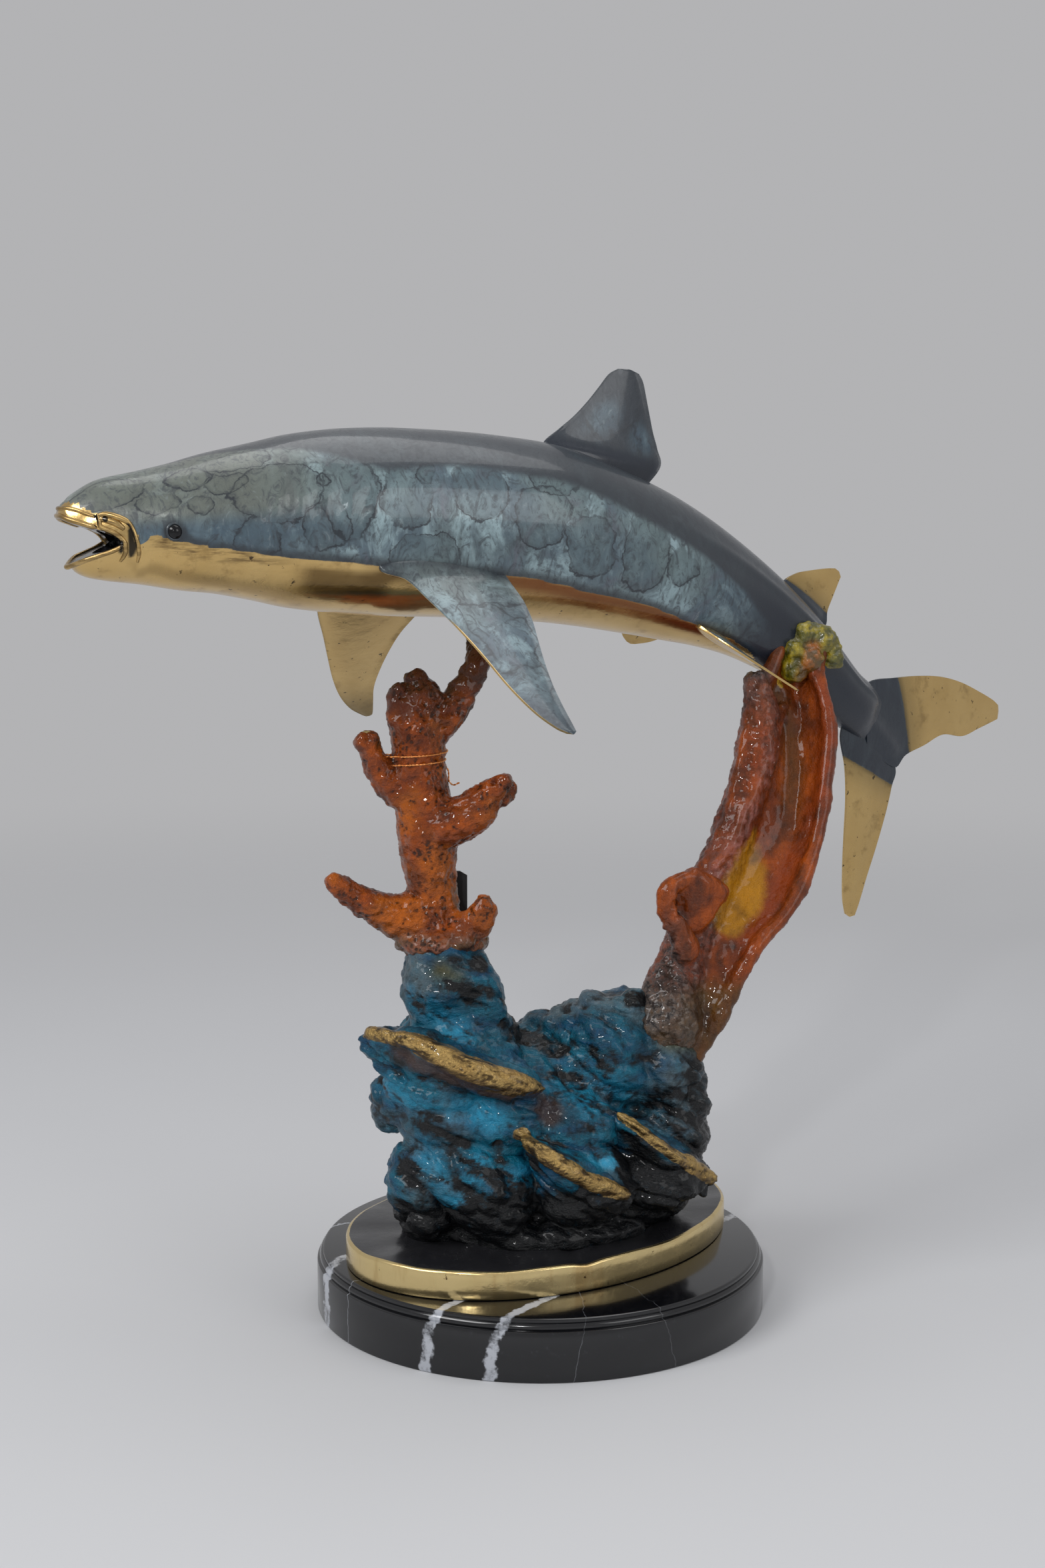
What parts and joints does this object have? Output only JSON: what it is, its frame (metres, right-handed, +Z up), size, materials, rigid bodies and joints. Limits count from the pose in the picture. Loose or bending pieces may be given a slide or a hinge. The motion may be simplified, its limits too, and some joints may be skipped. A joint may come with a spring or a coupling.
{
  "type": "shark figurine",
  "caption": "Polychrome patina bronze figurine of a shark swimming over a coral and kelp reef, on an oval plinth and a round black marble base.",
  "frame": {"origin": "centre of the round marble base's underside, on the surface that the figurine stands on", "axes": "+Z up; +Y away from the viewer of the picture; the shark's head points to -X and a little to -Y, its tail to +X and +Y"},
  "size_m": [0.5971, 0.3752, 0.5794],
  "materials": {
    "marble": "polished black marble with pale blue-grey veins",
    "reef_patina": "glossy lacquered patina: turquoise rock, orange-red coral, gold and brown kelp, brass-rubbed edges",
    "shark_patina": "glossy lacquered patina: blue-grey mottled back, gold belly and fins",
    "steel": "plain zinc-plated steel",
    "copper": "bare copper wire",
    "tag_black": "matt black card"
  },
  "bodies": {
    "root": {"marble_base": "marble", "reef_casting": "reef_patina", "shark_casting": "shark_patina", "bolt_left": "steel", "bolt_right": "steel", "washer_left": "steel", "washer_right": "steel", "wire_tie": "copper", "hang_tag": "tag_black"}
  },
  "joints": []
}
